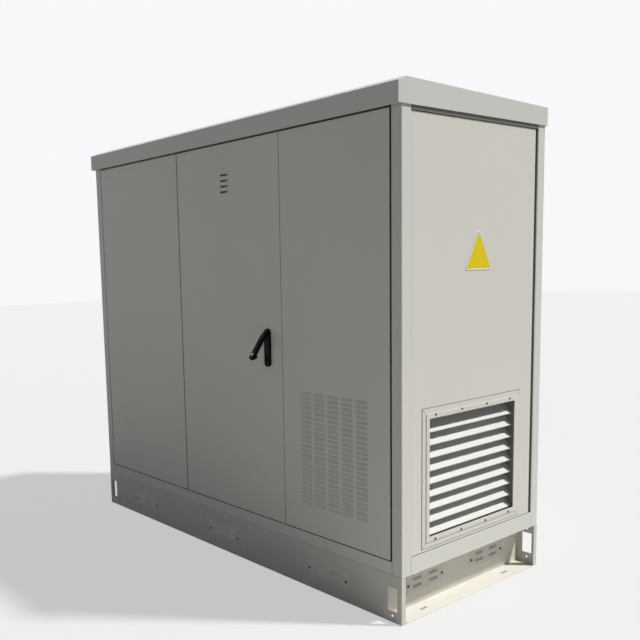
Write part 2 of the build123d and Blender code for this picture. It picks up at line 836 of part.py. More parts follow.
def sliding_bolt(x, upper):
    """A round bolt with a knob, shot into its keep."""
    tip = shoot_top if upper else shoot_bottom
    way = -1 if upper else 1
    bolt = rod("z", bolt_radius, (x, shoot_y), tip, tip + way * bolt_length)
    bolt = chamfer([e for e in bolt.edges() if abs(e.center().Z - tip) < 0.01], 2)
    z = tip + way * knob_distance
    knob = rod("y", 4, (x, z), shoot_y, shoot_y + 22)
    return bolt + knob + rod("y", 7, (x, z), shoot_y + 22, shoot_y + 30)


def pressed_louvres(door):
    """Press the louvre field: hoods that open downwards, in columns."""
    hoods = []
    pockets = []
    f = front_y
    middle = (right_leaf[0] + right_leaf[1]) / 2
    field_z = leaf_z0 + louvre_field_height
    for c in range(louvre_columns):
        x = middle + (c - (louvre_columns - 1) / 2) * louvre_column_pitch
        w = louvre_width / 2
        for r in range(louvre_rows):
            z0 = field_z + (r - louvre_rows / 2) * louvre_row_pitch + (louvre_row_pitch - louvre_height) / 2
            z1 = z0 + louvre_height
            hood = Polyline((f + 0.5, z1), (f - louvre_rise, z0), (f + 0.5, z0), close=True)
            hoods.append(prism(hood, "x", x - w, x + w))
            t = louvre_wall
            inside = Polyline((f + sheet + 1, z1 - 2 * t), (f - louvre_rise + t, z0 - 1), (f + sheet + 1, z0 - 1), close=True)
            pockets.append(prism(inside, "x", x - w + t, x + w - t))
    return door + hoods - pockets


def top_vent_place():
    """The middle of the slots near the top of the centre leaf."""
    return (centre_leaf[0] + centre_leaf[1]) / 2, leaf_z1 - top_vent_drop


def centre_stiffener_heights():
    """Where the centre leaf's stiffeners lie, which also carry the rod guides."""
    return leaf_z0 + centre_stiffener_low, leaf_z1 - centre_stiffener_high


def centre_door():
    """The centre leaf, with the slots at its top and the holes for the handle."""
    door = leaf(centre_leaf, pivot_of(centre_leaf, True), centre_stiffener_heights())
    y0, y1 = front_y - 1, front_y + sheet + 1
    x, middle = top_vent_place()
    for i in range(top_vent_count):
        z = middle + (i - (top_vent_count - 1) / 2) * top_vent_pitch
        door -= obround("y", y0, y1, (x, z), top_vent_length, top_vent_width)
    return door - rod("y", spindle_radius + 1, (handle_centre_x, handle_pivot_height), y0, y1)


def side_door(span, left_hinged, bolt_x):
    """A leaf that is held by two sliding bolts at its free edge."""
    heights = (leaf_z0 + side_stiffener_low, leaf_z1 - side_stiffener_high)
    door = leaf(span, pivot_of(span, left_hinged), heights)
    return door + bolt_guides(bolt_x, True) + bolt_guides(bolt_x, False)


def vent_baffle():
    """The rain baffle behind the slots, open at its lower edge."""
    w, h = baffle_width / 2, baffle_height / 2
    y0 = front_y + sheet
    x, z = top_vent_place()
    tray = pan("y", y0 + stiffener_depth, -stiffener_depth, thin_sheet, x - w, x + w, z - h, z + h)
    return tray - block(x - w + thin_sheet, x + w - thin_sheet, y0 - 1, y0 + stiffener_depth - thin_sheet, z - h - 1, z - h + 5)


# Swing handle and latch


def handle_plate():
    """The handle's long plate with round ends, bored for the spindle and for the lever's collar."""
    w, length = handle_plate_width, handle_plate_length
    z = handle_pivot_height + handle_plate_above_pivot - length / 2
    x = handle_centre_x
    y0 = front_y - handle_plate_thickness
    plate = obround("y", y0, front_y, (x, z), length, w, False)
    plate = fillet([e for e in plate.edges() if abs(e.center().Y - y0) < 0.01], 2.5)
    plate -= rod("y", collar_radius + collar_clearance, lock_spot, y0 - 1, front_y + 1)
    return plate - rod("y", spindle_radius + turning_clearance, (x, handle_pivot_height), y0 - 1, front_y + 1)


def handle_spindle():
    """The turning part: a spindle through the leaf, a hub and two ears for the lever's pin."""
    x, z = handle_centre_x, handle_pivot_height
    plate_y = front_y - handle_plate_thickness - running_gap
    hub_y = plate_y - hub_thickness
    inner_y = rod_faces()[0] - running_gap - 0.2
    spindle = rod("y", spindle_radius, (x, z), hub_y, inner_y) + rod("y", hub_radius, (x, z), hub_y, plate_y)
    pin_y = lever_pin_y
    inside = lever_root_width / 2 + running_gap
    for s in (-1, 1):
        a, b = sorted((x + s * inside, x + s * (inside + ear_thickness)))
        ear = rod("x", 6, (pin_y, z), a, b) + block(a, b, pin_y, hub_y + 0.5, z - 6, z + 6)
        spindle += ear
    half = inside + ear_thickness
    return spindle - rod("x", lever_pin_radius + pin_clearance, (pin_y, z), x - half - 1, x + half + 1)


def lever_lift_place(shape):
    """Turn a piece of the stowed lever outwards about the lever's pin."""
    z = handle_pivot_height
    return Pos(0, lever_pin_y, z) * Rot(-lever_lift, 0, 0) * Pos(0, -lever_pin_y, -z) * shape


def lever_side():
    """The stowed lever from the side: thin over the hub, thick along the grip, drawn in at its end."""
    z, end = handle_pivot_height, handle_pivot_height - lever_length
    root_y = lever_pin_y + lever_root_radius
    top = lever_pin_y - lever_root_radius
    neck = z - hub_radius - 4
    line = [(root_y, z), (root_y, neck), (lever_under_y, neck - 3), (lever_under_y, end)]
    line += [(lever_crest_y + 6, end), (lever_crest_y, end + 16), (lever_crest_y, neck - 8), (top, z - 4), (top, z)]
    return FilletPolyline(*line, radius=[0, 1, 1, 3, 4, 10, 14, 4, 0], close=True)


def lever_outline():
    """The stowed lever from the front: narrow between the ears, straight along the grip, round at its end."""
    x, z = handle_centre_x, handle_pivot_height
    end = z - lever_length
    root, grip = lever_root_width / 2, lever_width / 2
    left = [(x - root, z + 5), (x - root, z - 9), (x - grip, z - 13), (x - grip, end)]
    right = [(2 * x - a, b) for a, b in reversed(left)]
    return FilletPolyline(*left, *right, radius=[3, 1, 4, 10, 10, 4, 1, 3], close=True)


def lever_section():
    """The grip's cross section, its outer corners rounded."""
    x0, x1 = handle_centre_x - lever_width / 2, handle_centre_x + lever_width / 2
    y0, y1 = lever_crest_y, lever_pin_y + lever_root_radius + 5
    r = lever_edge_radius
    return FilletPolyline((x0, y1), (x0, y0), (x1, y0), (x1, y1), radius=[0, r, r, 0], close=True)


def handle_lever():
    """The lever, with a collar under its end that plugs into the plate."""
    x, z = handle_centre_x, handle_pivot_height
    half = lever_width / 2 + 1
    lever = prism(lever_outline(), "y", lever_crest_y - 1, lever_pin_y + lever_root_radius + 5)
    lever &= prism(lever_side(), "x", x - half, x + half)
    lever &= prism(lever_section(), "z", z - lever_length - 1, z + 6)
    lever += rod("x", lever_root_radius, (lever_pin_y, z), x - lever_root_width / 2, x + lever_root_width / 2)
    lever += rod("y", collar_radius, lock_spot, lever_under_y - 1, collar_end_y)
    lever -= rod("x", lever_pin_radius + pin_clearance, (lever_pin_y, z), x - half, x + half)
    lever -= rod("y", lock_radius + turning_clearance, lock_spot, lever_crest_y - 1, collar_end_y + 1)
    return lever_lift_place(lever)


def lock_cylinder():
    """The lock through the lever's end and its collar, with its key slot."""
    x, z = lock_spot
    face = lever_crest_y - running_gap
    lock = rod("y", lock_radius, lock_spot, face, collar_end_y)
    return lever_lift_place(lock - block(x - 0.8, x + 0.8, face - 1, face + 3, z - 4, z + 4))


def lever_pin():
    """The pin that the lever lifts on."""
    half = lever_root_width / 2 + running_gap + ear_thickness
    spot = (lever_pin_y, handle_pivot_height)
    return rod("x", lever_pin_radius, spot, handle_centre_x - half, handle_centre_x + half)


def rod_faces():
    """The rods' front and back faces."""
    return shoot_y - rod_thickness / 2, shoot_y + rod_thickness / 2


def latch_cam():
    """The cam on the spindle: a bar with two pins, one for each rod."""
    x, z = handle_centre_x, handle_pivot_height
    front, back = rod_faces()
    y1 = front - 0.5
    y0 = y1 - 4
    reach = cam_pin_circle * math.sqrt(0.5)
    hub = rod("y", 13, (x, z), y0, y1)
    for s in (-1, 1):
        px, pz = x + s * reach, z + s * reach
        hub += rod("y", 6, (px, pz), y0, y1) + rod("y", 3, (px, pz), y1 - 0.5, back + 3)
    bar = prism(rect(x - cam_pin_circle, x + cam_pin_circle, z - 6, z + 6), "y", y0, y1)
    hub += Pos(x, 0, z) * Rot(0, -45, 0) * Pos(-x, 0, -z) * bar
    return hub - rod("y", spindle_radius + pin_clearance, (x, z), y0 - 1, y1 + 1)


def latch_rod(upper):
    """A flat rod from the cam to the keep, with a cross slot for the cam's pin."""
    s = 1 if upper else -1
    reach = cam_pin_circle * math.sqrt(0.5)
    x = handle_centre_x + s * rod_offset
    pin_z = handle_pivot_height + s * reach
    tip = shoot_top if upper else shoot_bottom
    front, back = rod_faces()
    w = rod_width / 2
    foot = pin_z - s * 10
    chamfered = [(x - w, foot), (x + w, foot), (x + w, tip - s * 8), (x + w - 5, tip), (x - w + 5, tip), (x - w, tip - s * 8)]
    bar = prism(Polyline(*chamfered, close=True), "y", front, back)
    slot_width = 7.6
    slot_length = cam_pin_circle - reach + slot_width + 0.8
    return bar - obround("y", front - 1, back + 1, (x, pin_z), slot_length, slot_width)


def rod_guides():
    """The guides that hold the rods against the stiffeners, two on each stiffener."""
    guides = []
    front, back = rod_faces()
    crown = front_y + sheet + stiffener_depth
    low, high = centre_stiffener_heights()
    w, h = rod_guide_width / 2, rod_guide_height / 2
    inside = rod_width / 2 + guide_clearance
    for x, middle in ((handle_centre_x + rod_offset, high), (handle_centre_x - rod_offset, low)):
        for s in (-1, 1):
            z = middle + s * rod_guide_spacing / 2
            guide = block(x - w, x + w, crown, back + guide_clearance + rod_guide_wall, z - h, z + h)
            guides.append(guide - block(x - inside, x + inside, crown - 1, back + guide_clearance, z - h - 1, z + h + 1))
    return guides


# Inside


def equipment_rail(x, facing):
    """An upright angle with square holes for cage nuts."""
    z0, z1 = frame_bottom + floor_sheet, frame_top
    edge = x + facing * rail_flange
    line = [(edge, rail_y), (x, rail_y), (x, rail_y + rail_flange)]
    if facing < 0:
        line = line[::-1]
    rail = folded(line, sheet, "z", z0, z1)
    count = int((z1 - z0 - 100) // rail_hole_pitch)
    middle = (z0 + z1) / 2
    hx = x + facing * rail_flange * 0.55
    h = rail_hole / 2
    holes = []
    for i in range(count):
        z = middle + (i - (count - 1) / 2) * rail_hole_pitch
        holes.append(block(hx - h, hx + h, rail_y - sheet - 1, rail_y + sheet + 1, z - h, z + h))
    return rail - holes


def equipment_rails():
    """A pair of rails in the left bay and one in the centre bay."""
    rails = []
    for span in (left_leaf, centre_leaf):
        middle = (span[0] + span[1]) / 2
        for s in (-1, 1):
            rails.append(equipment_rail(middle + s * rail_face_spacing / 2, s))
    return rails


def earth_bar_faces():
    """The earth bar's front and back faces, standing off from the rear rail's rebate."""
    back = panel_face_y - sheet - standoff_length
    return back - earth_bar_thickness, back


def earth_bar_standoffs():
    """The two insulating standoffs, each with a stud and a nut in front of the bar."""
    front, back = earth_bar_faces()
    standoffs = []
    for s in (-1, 1):
        spot = (s * earth_bar_length * 5 / 12, earth_bar_z)
        body = rod("y", standoff_radius, spot, back, back + standoff_length)
        stud = rod("y", 4, spot, front - 8, back)
        standoffs.append(body + stud + rod("y", 7, spot, front - 6, front))
    return standoffs


def earth_bar():
    """The earth bar with its row of bolt holes."""
    y0, y1 = earth_bar_faces()
    h = earth_bar_height / 2
    half = earth_bar_length / 2
    bar = block(-half, half, y0, y1, earth_bar_z - h, earth_bar_z + h)
    for i in range(-5, 6):
        bar -= rod("y", 4.5, (i * 50.0, earth_bar_z), y0 - 1, y1 + 1)
    return bar


def write(name, shape):
    """Write one node; a list is a group of separate solids."""
    if isinstance(shape, list):
        solids = []
        for piece in shape:
            solids += piece.solids()
        shape = Compound(solids)
    export_step(shape, "parts/" + name + ".step")


def main():
    os.makedirs("parts", exist_ok=True)

    panel = plinth_long_panel()
    write("plinth_front_panel", panel)
    write("plinth_rear_panel", mirror(panel, about=Plane.XZ))
    end = plinth_end()
    write("plinth_right_end", end)
    write("plinth_left_end", opposite(end))
    write("plinth_cross_beam", plinth_channel(-beam_half_width, 2 * beam_half_width))
    plates, screws, meshes = plinth_vents()
    write("plinth_vent_plates", plates)
    write("plinth_screws", screws)
    write("vent_meshes", meshes)

    write("base_frame", base_frame())
    write("top_frame", top_frame())
    post = front_post()
    write("front_right_post", post)
    write("front_left_post", opposite(post))
    post = rear_post()
    write("rear_right_post", post)
    write("rear_left_post", opposite(post))
    write("left_mullion", mullion(left_leaf[1], centre_leaf[0]))
    write("right_mullion", mullion(centre_leaf[1], right_leaf[0]))
    write("rear_mullion", rear_mullion())
    write("roof", roof())

    panel = end_panel()
    write("left_end_panel", opposite(panel))
    window = prism(rect(*window_rect(running_gap)), "x", panel_face_x - 1, end_x)
    write("right_end_panel", panel - window)
    panel = rear_panel()
    write("right_rear_panel", panel)
    write("left_rear_panel", opposite(panel))
    for name, span in zip(("left", "centre", "right"), window_spans()):
        write(name + "_floor_plate", floor_plate(span))

    write("louvre_cover_frame", louvre_cover_frame())
    write("louvre_insert", louvre_insert())
    write("louvre_blades", louvre_blades())
    write("louvre_screws", louvre_screws())
    write("filter_tray", filter_tray())
    write("filter_mat", filter_mat())

    write("equipment_rails", equipment_rails())
    write("earth_bar", earth_bar())
    write("earth_bar_standoffs", earth_bar_standoffs())

    left_bolt_x = left_leaf[1] - bolt_edge_distance
    right_bolt_x = right_leaf[0] + bolt_edge_distance
    write("left_door", side_door(left_leaf, True, left_bolt_x))
    write("centre_door", centre_door())
    write("right_door", pressed_louvres(side_door(right_leaf, False, right_bolt_x)))
    sides = (("left", left_leaf, True), ("centre", centre_leaf, True), ("right", right_leaf, False))
    brackets = []
    pins = []
    for name, span, left_hinged in sides:
        write(name + "_door_seal", seal(span))
        x = pivot_of(span, left_hinged)
        write(name + "_hinge_plates", [to_pivot(hinge_plate(z), x, left_hinged) for z in hinge_heights])
        brackets += [to_pivot(hinge_bracket(z), x, left_hinged) for z in hinge_heights]
        pins += [to_pivot(hinge_pin(z), x, left_hinged) for z in hinge_heights]
    write("hinge_brackets", brackets)
    write("hinge_pins", pins)

    keeps = [keep(x, upper) for x in (left_bolt_x, right_bolt_x) for upper in (True, False)]
    keeps += [keep(handle_centre_x + rod_offset, True), keep(handle_centre_x - rod_offset, False)]
    write("door_keeps", keeps)
    write("left_top_bolt", sliding_bolt(left_bolt_x, True))
    write("left_bottom_bolt", sliding_bolt(left_bolt_x, False))
    write("right_top_bolt", sliding_bolt(right_bolt_x, True))
    write("right_bottom_bolt", sliding_bolt(right_bolt_x, False))

    write("vent_baffle", vent_baffle())
    write("handle_plate", handle_plate())
    write("handle_spindle", handle_spindle())
    write("handle_lever", handle_lever())
    write("lever_pin", lever_pin())
    write("lock_cylinder", lock_cylinder())
    write("latch_cam", latch_cam())
    write("top_rod", latch_rod(True))
    write("bottom_rod", latch_rod(False))
    write("rod_guides", rod_guides())


main()
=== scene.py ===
import json
import math

import bpy
import numpy as np
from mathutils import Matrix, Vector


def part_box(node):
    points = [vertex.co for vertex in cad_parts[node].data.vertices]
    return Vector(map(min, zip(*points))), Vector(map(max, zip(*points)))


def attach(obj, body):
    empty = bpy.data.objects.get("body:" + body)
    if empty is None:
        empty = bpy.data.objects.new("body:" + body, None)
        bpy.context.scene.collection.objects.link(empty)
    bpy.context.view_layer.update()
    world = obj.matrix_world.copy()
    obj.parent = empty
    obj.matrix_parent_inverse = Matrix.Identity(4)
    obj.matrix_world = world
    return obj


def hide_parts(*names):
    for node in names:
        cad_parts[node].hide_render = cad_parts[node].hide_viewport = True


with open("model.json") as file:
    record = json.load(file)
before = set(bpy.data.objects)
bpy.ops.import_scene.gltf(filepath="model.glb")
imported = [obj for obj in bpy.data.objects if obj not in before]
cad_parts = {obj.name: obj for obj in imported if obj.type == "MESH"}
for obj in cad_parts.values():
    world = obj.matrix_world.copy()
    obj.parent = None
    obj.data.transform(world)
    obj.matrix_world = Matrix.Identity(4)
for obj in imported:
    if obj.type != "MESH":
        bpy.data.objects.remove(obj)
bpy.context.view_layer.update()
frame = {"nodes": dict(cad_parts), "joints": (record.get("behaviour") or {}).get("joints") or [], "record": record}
nodes = frame["nodes"]


print("frame loaded:", len(nodes), "nodes")


# View

view = {
    "place": (3.2468, -2.9236, 1.4945),
    "turn": (82.5236, 1.4718, 50.9606),  # degrees about X, Y and Z
    "lens": 44.837,
    "shift": (0.1118, 0.0766),
}


def placeCamera(values):
    data = bpy.data.cameras.new("camera")
    data.lens = values["lens"]
    data.sensor_width = 36
    data.shift_x, data.shift_y = values["shift"]
    data.dof.use_dof = False
    camera = bpy.data.objects.new("camera", data)
    camera.location = values["place"]
    camera.rotation_euler = [math.radians(a) for a in values["turn"]]
    bpy.context.scene.collection.objects.link(camera)
    bpy.context.scene.camera = camera


placeCamera(view)
bpy.context.scene.view_settings.view_transform = "Standard"


# Studio: a pale floor, a sky brighter at the horizon, and one lamp like a high sun behind the right end

studio = {
    "horizon": (0.178, 0.192, 0.206),
    "zenith": (0.100, 0.115, 0.142),
    "skyCurve": 0.6,  # power of the height at which the sky turns
    "rightSide": 0.05,  # more light from the right, full along +X
    "backdrop": (0.93, 0.94, 0.95),
    "lampStrength": 4.35,
    "lampColour": (1.0, 0.985, 0.955),
    "lampTurn": (0.42, 0.41, 0.81),  # towards the lamp
    "lampSpread": 4.0,
    "floorColour": (0.27, 0.27, 0.265),  # as the camera sees it, under its glow
    "floorGlow": 0.55,
    "floorRough": 0.9,
    "floorSpecular": 0.1,
    "bounceNear": (0.52, 0.515, 0.49),  # as the object is lit by it, close by and far off
    "bounceFar": (0.20, 0.21, 0.20),
    "bounceReach": (2.5, 7.0),
    "floorReach": 30.0,
    "underneath": (1.195, 0.495),  # half sizes of the footprint, where the floor doesn't glow
}


def addNode(tree, kind, **settings):
    node = tree.nodes.new(kind)
    for key, value in settings.items():
        setattr(node, key, value)
    return node


def addMath(tree, kind, a, b=None):
    node = addNode(tree, "ShaderNodeMath", operation=kind)
    for socket, value in zip(node.inputs, (a, b)):
        if isinstance(value, (int, float)):
            socket.default_value = value
        elif value is not None:
            tree.links.new(value, socket)
    return node.outputs[0]


# Colour a turning into colour b with the share; either is a colour or a socket
def addMix(tree, share, a, b):
    node = addNode(tree, "ShaderNodeMix", data_type="RGBA")
    tree.links.new(share, node.inputs["Factor"])
    for socket, value in ((node.inputs[6], a), (node.inputs[7], b)):
        if isinstance(value, tuple):
            socket.default_value = value + (1,)
        else:
            tree.links.new(value, socket)
    return node.outputs[2]


def buildSky(values):
    world = bpy.data.worlds.new("studioSky")
    bpy.context.scene.world = world
    world.use_nodes = True
    tree = world.node_tree
    tree.nodes.clear()
    direction = addNode(tree, "ShaderNodeSeparateXYZ")
    tree.links.new(addNode(tree, "ShaderNodeTexCoord").outputs["Generated"], direction.inputs[0])
    up = addMath(tree, "MAXIMUM", direction.outputs["Z"], 0.0)
    fade = addMix(tree, addMath(tree, "POWER", up, values["skyCurve"]), values["horizon"], values["zenith"])
    light = addNode(tree, "ShaderNodeBackground")
    tree.links.new(fade, light.inputs["Color"])
    right = addMath(tree, "MAXIMUM", direction.outputs["X"], 0.0)
    gain = addMath(tree, "MULTIPLY", right, values["rightSide"] / values["horizon"][0])
    tree.links.new(addMath(tree, "ADD", gain, 1.0), light.inputs["Strength"])
    back = addNode(tree, "ShaderNodeBackground")
    back.inputs["Color"].default_value = values["backdrop"] + (1,)
    path = addNode(tree, "ShaderNodeLightPath")
    seen = addMath(tree, "MAXIMUM", path.outputs["Is Camera Ray"], path.outputs["Is Glossy Ray"])
    seen = addMath(tree, "MAXIMUM", seen, path.outputs["Is Transmission Ray"])
    mix = addNode(tree, "ShaderNodeMixShader")
    tree.links.new(seen, mix.inputs[0])
    tree.links.new(light.outputs[0], mix.inputs[1])
    tree.links.new(back.outputs[0], mix.inputs[2])
    tree.links.new(mix.outputs[0], addNode(tree, "ShaderNodeOutputWorld").inputs["Surface"])


def buildLamp(values):
    lamp = bpy.data.lights.new("keyLamp", "SUN")
    lamp.energy = values["lampStrength"]
    lamp.color = values["lampColour"]
    lamp.angle = math.radians(values["lampSpread"])
    lampObject = bpy.data.objects.new("keyLamp", lamp)
    x, y, z = values["lampTurn"]
    lampObject.rotation_euler = (math.atan2(math.hypot(x, y), z), 0, math.atan2(y, x) + math.pi / 2)
    bpy.context.scene.collection.objects.link(lampObject)


def buildFloor(values):
    r = values["floorReach"]
    mesh = bpy.data.meshes.new("floor")
    mesh.from_pydata([(-r, -r, 0), (r, -r, 0), (r, r, 0), (-r, r, 0)], [], [(0, 1, 2, 3)])
    floor = bpy.data.objects.new("floor", mesh)
    bpy.context.scene.collection.objects.link(floor)
    material = bpy.data.materials.new("floorBoard")
    material.use_nodes = True
    tree = material.node_tree
    shader = tree.nodes["Principled BSDF"]
    shader.inputs["Roughness"].default_value = values["floorRough"]
    shader.inputs["Specular IOR Level"].default_value = values["floorSpecular"]
    coords = addNode(tree, "ShaderNodeTexCoord").outputs["Object"]
    place = addNode(tree, "ShaderNodeSeparateXYZ")
    tree.links.new(coords, place.inputs[0])
    outside = []
    for axis, half in zip("XY", values["underneath"]):
        outside.append(addMath(tree, "GREATER_THAN", addMath(tree, "ABSOLUTE", place.outputs[axis]), half))
    clear = addMath(tree, "MAXIMUM", *outside)
    path = addNode(tree, "ShaderNodeLightPath")
    seen = addMath(tree, "MAXIMUM", path.outputs["Is Camera Ray"], path.outputs["Is Glossy Ray"])
    away = addNode(tree, "ShaderNodeVectorMath", operation="LENGTH")
    tree.links.new(coords, away.inputs[0])
    near, far = values["bounceReach"]
    share = addMath(tree, "DIVIDE", addMath(tree, "SUBTRACT", away.outputs["Value"], near), far - near)
    share = addMath(tree, "MINIMUM", addMath(tree, "MAXIMUM", share, 0.0), 1.0)
    bounce = addMix(tree, share, values["bounceNear"], values["bounceFar"])
    tree.links.new(addMix(tree, seen, bounce, values["floorColour"]), shader.inputs["Base Color"])
    strength = addMath(tree, "MULTIPLY", addMath(tree, "MULTIPLY", seen, clear), values["floorGlow"])
    glow = addNode(tree, "ShaderNodeEmission")
    glow.inputs["Color"].default_value = values["backdrop"] + (1,)
    tree.links.new(strength, glow.inputs["Strength"])
    both = addNode(tree, "ShaderNodeAddShader")
    tree.links.new(shader.outputs[0], both.inputs[0])
    tree.links.new(glow.outputs[0], both.inputs[1])
    tree.links.new(both.outputs[0], tree.nodes["Material Output"].inputs["Surface"])
    mesh.materials.append(material)


buildSky(studio)
buildLamp(studio)
buildFloor(studio)
print("studio built")


# Finishes


class Finish:
    # A material put together from patterns on object coordinates, so they stay on the piece

    def __init__(self, name):
        self.material = bpy.data.materials.new(name)
        self.material.use_nodes = True
        self.tree = self.material.node_tree
        self.shader = self.tree.nodes["Principled BSDF"]
        self.coords = addNode(self.tree, "ShaderNodeTexCoord").outputs["Object"]

    def link(self, a, b):
        self.tree.links.new(a, b)

    def math(self, kind, a, b=None):
        return addMath(self.tree, kind, a, b)

    # Cloud pattern; stretch scales the axes first, so a small value draws it out along that axis
    def noise(self, scale, detail=2.0, stretch=None):
        source = self.coords
        if stretch:
            mapping = addNode(self.tree, "ShaderNodeMapping")
            mapping.inputs["Scale"].default_value = stretch
            self.link(source, mapping.inputs["Vector"])
            source = mapping.outputs["Vector"]
        node = addNode(self.tree, "ShaderNodeTexNoise")
        node.inputs["Scale"].default_value = scale
        node.inputs["Detail"].default_value = detail
        self.link(source, node.inputs["Vector"])
        return node.outputs["Fac"]

    # One random value for each cell of a cell pattern
    def cells(self, scale):
        node = addNode(self.tree, "ShaderNodeTexVoronoi")
        node.inputs["Scale"].default_value = scale
        self.link(self.coords, node.inputs["Vector"])
        grey = addNode(self.tree, "ShaderNodeRGBToBW")
        self.link(node.outputs["Color"], grey.inputs[0])
        return grey.outputs[0]

    # One coordinate of the place on the object, in metres
    def along(self, axis):
        node = addNode(self.tree, "ShaderNodeSeparateXYZ")
        self.link(self.coords, node.inputs[0])
        return node.outputs[axis]

    # Value moved from one span to another and held inside it
    def spread(self, value, low, high, toLow=0.0, toHigh=1.0):
        node = addNode(self.tree, "ShaderNodeMapRange")
        for key, number in zip(("From Min", "From Max", "To Min", "To Max"), (low, high, toLow, toHigh)):
            node.inputs[key].default_value = number
        self.link(value, node.inputs["Value"])
        return node.outputs["Result"]

    def blend(self, amount, a, b):
        return addMix(self.tree, amount, a, b)

    # Relief; depth is the height in metres of a full step of the pattern
    def bump(self, height, depth, under=None):
        node = addNode(self.tree, "ShaderNodeBump")
        node.inputs["Distance"].default_value = depth
        self.link(height, node.inputs["Height"])
        if under:
            self.link(under, node.inputs["Normal"])
        return node.outputs["Normal"]

    # Patterns go to the shader's colour, roughness and normal; plain values straight to its sockets
    def finish(self, colour, rough=None, normal=None, **values):
        self.link(colour, self.shader.inputs["Base Color"])
        if rough:
            self.link(rough, self.shader.inputs["Roughness"])
        if normal:
            self.link(normal, self.shader.inputs["Normal"])
        for key, value in values.items():
            self.shader.inputs[key.replace("_", " ")].default_value = value
        return self.material


def shade(colour, factor):
    return tuple(min(1.0, c * factor) for c in colour)


powderCoat = {
    "colour": (0.640, 0.622, 0.568),
    "dust": (0.43, 0.40, 0.33),
    # colour of the painted shade blended into gaps, folds and recesses
    "paintedShade": (0.050, 0.047, 0.040),
    "cloud": (1.3, 0.985, 1.012),  # scale of the pattern, and its darkest and palest tone
    "streak": (7, (3, 3, 0.25), 0.035, 0.72),  # scale, stretch, amount and tone
    "speck": (420, 0.07, 0.80),  # scale, amount and tone
    "dustTop": 0.26,  # metres above the ground
    "dustPatch": (13, 0.34),  # scale and amount
    "gloss": (0.40, 0.50),  # least and most roughness
    "specular": 0.26,
    "peel": (620.0, 0.00010),  # scale and depth
    "wave": (2.6, 0.0010),
}

whiteCoat = dict(powderCoat, colour=(0.605, 0.602, 0.580))  # the blades, a little whiter
coolCoat = dict(powderCoat, colour=(0.620, 0.620, 0.583))  # frame and roof, from another batch of powder


# Powder coat: faint clouds and fine specks in the colour, dust low down, orange peel over gentle sheet waves, and
# painted shade blended in where a place for it is given
def paint(name, values, tone, dirt, paintedShade=None):
    f = Finish(name)
    base = shade(values["colour"], tone)
    scale, dark, pale = values["cloud"]
    colour = f.blend(f.spread(f.noise(scale, 2), 0.3, 0.7), shade(base, dark), shade(base, pale))
    scale, stretch, amount, dark = values["streak"]
    streak = f.spread(f.noise(scale, 3, stretch), 0.55, 0.80, 0, amount * dirt)
    colour = f.blend(streak, colour, shade(base, dark))
    scale, amount, dark = values["speck"]
    colour = f.blend(f.spread(f.noise(scale, 1), 0.60, 0.72, 0, amount), colour, shade(base, dark))
    low = f.spread(f.along("Z"), 0.0, values["dustTop"], 1, 0)
    scale, amount = values["dustPatch"]
    patch = f.spread(f.noise(scale, 5), 0.44, 0.72, 0.0, amount * dirt)
    colour = f.blend(f.math("MULTIPLY", f.math("POWER", low, 1.6), patch), colour, values["dust"])
    if paintedShade:
        # painted shade: the dark colour laid on where the place function says
        colour = f.blend(paintedShade(f), colour, values["paintedShade"])
    rough = f.spread(f.noise(5, 3), 0.3, 0.7, *values["gloss"])
    normal = None
    for key in ("wave", "peel"):
        scale, depth = values[key]
        normal = f.bump(f.noise(scale, 1), depth, normal)
    return f.finish(colour, rough, normal, Specular_IOR_Level=values["specular"])


# Where painted shade lies and how strong it is: in the frame's gaps, under the roof, on the leaves' folds and in
# the window's tunnel
paintedShadePlace = {
    "skin": (0.0026, 0.0045),  # depth below the frame's outer skin at which it starts
    "gutter": (0.030, 0.038),  # depth at which it ends
    "frame": 0.84,  # how much of it there is
    "underHead": (0.0040, 0.0005),  # below the end panel's top edge
    "head": 0.8,
    "edge": (0.0011, 0.0007),  # how near a leaf's edge its folds lie
    "fold": (0.0022, 0.0040),  # depth behind the leaf's face
    "leaf": 0.85,
    "tunnel": (0.0007, 0.0005),  # behind the cover frame's face
    "window": 0.72,
}


# Painted shade: darker paint in the gaps of the frame, from just under the outer skin to the bottom of the gutter
def frameGapShade(f):
    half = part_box("base_frame")[1]
    deepX = f.math("SUBTRACT", half.x, f.math("ABSOLUTE", f.along("X")))
    deepY = f.math("SUBTRACT", half.y, f.math("ABSOLUTE", f.along("Y")))
    deep = f.math("MINIMUM", deepX, deepY)
    start = f.spread(deep, *paintedShadePlace["skin"], 0, paintedShadePlace["frame"])
    return f.math("MULTIPLY", start, f.spread(deep, *paintedShadePlace["gutter"], 1, 0))


# The same painted shade, and painted shade on the head of the frame, which lies under the roof's edge
def underRoofShade(f):
    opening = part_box("right_end_panel")[1].z
    start, full = (opening - d for d in paintedShadePlace["underHead"])
    return f.math("MAXIMUM", frameGapShade(f), f.spread(f.along("Z"), start, full, 0, paintedShadePlace["head"]))


# Painted shade on the folded edges of a leaf, behind its face, where the gaps between leaves fall dark
def leafEdgeShade(name):
    low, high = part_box(name)
    inner, outer = paintedShadePlace["edge"]
    start, full = (low.y + d for d in paintedShadePlace["fold"])

    def place(f):
        edges = []
        for axis, a, b in (("X", low.x, high.x), ("Z", low.z, high.z)):
            edges.append(f.spread(f.along(axis), a + outer, a + inner, 1, 0))
            edges.append(f.spread(f.along(axis), b - inner, b - outer, 0, 1))
        edge = f.math("MAXIMUM", f.math("MAXIMUM", *edges[:2]), f.math("MAXIMUM", *edges[2:]))
        return f.math("MULTIPLY", edge, f.spread(f.along("Y"), start, full, 0, paintedShadePlace["leaf"]))

    return place


# Painted shade inside the window's tunnel, behind the cover frame's face
def tunnelShade(f):
    start, end = (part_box("louvre_cover_frame")[1].x - d for d in paintedShadePlace["tunnel"])
    return f.spread(f.along("X"), start, end, paintedShadePlace["window"], 0)


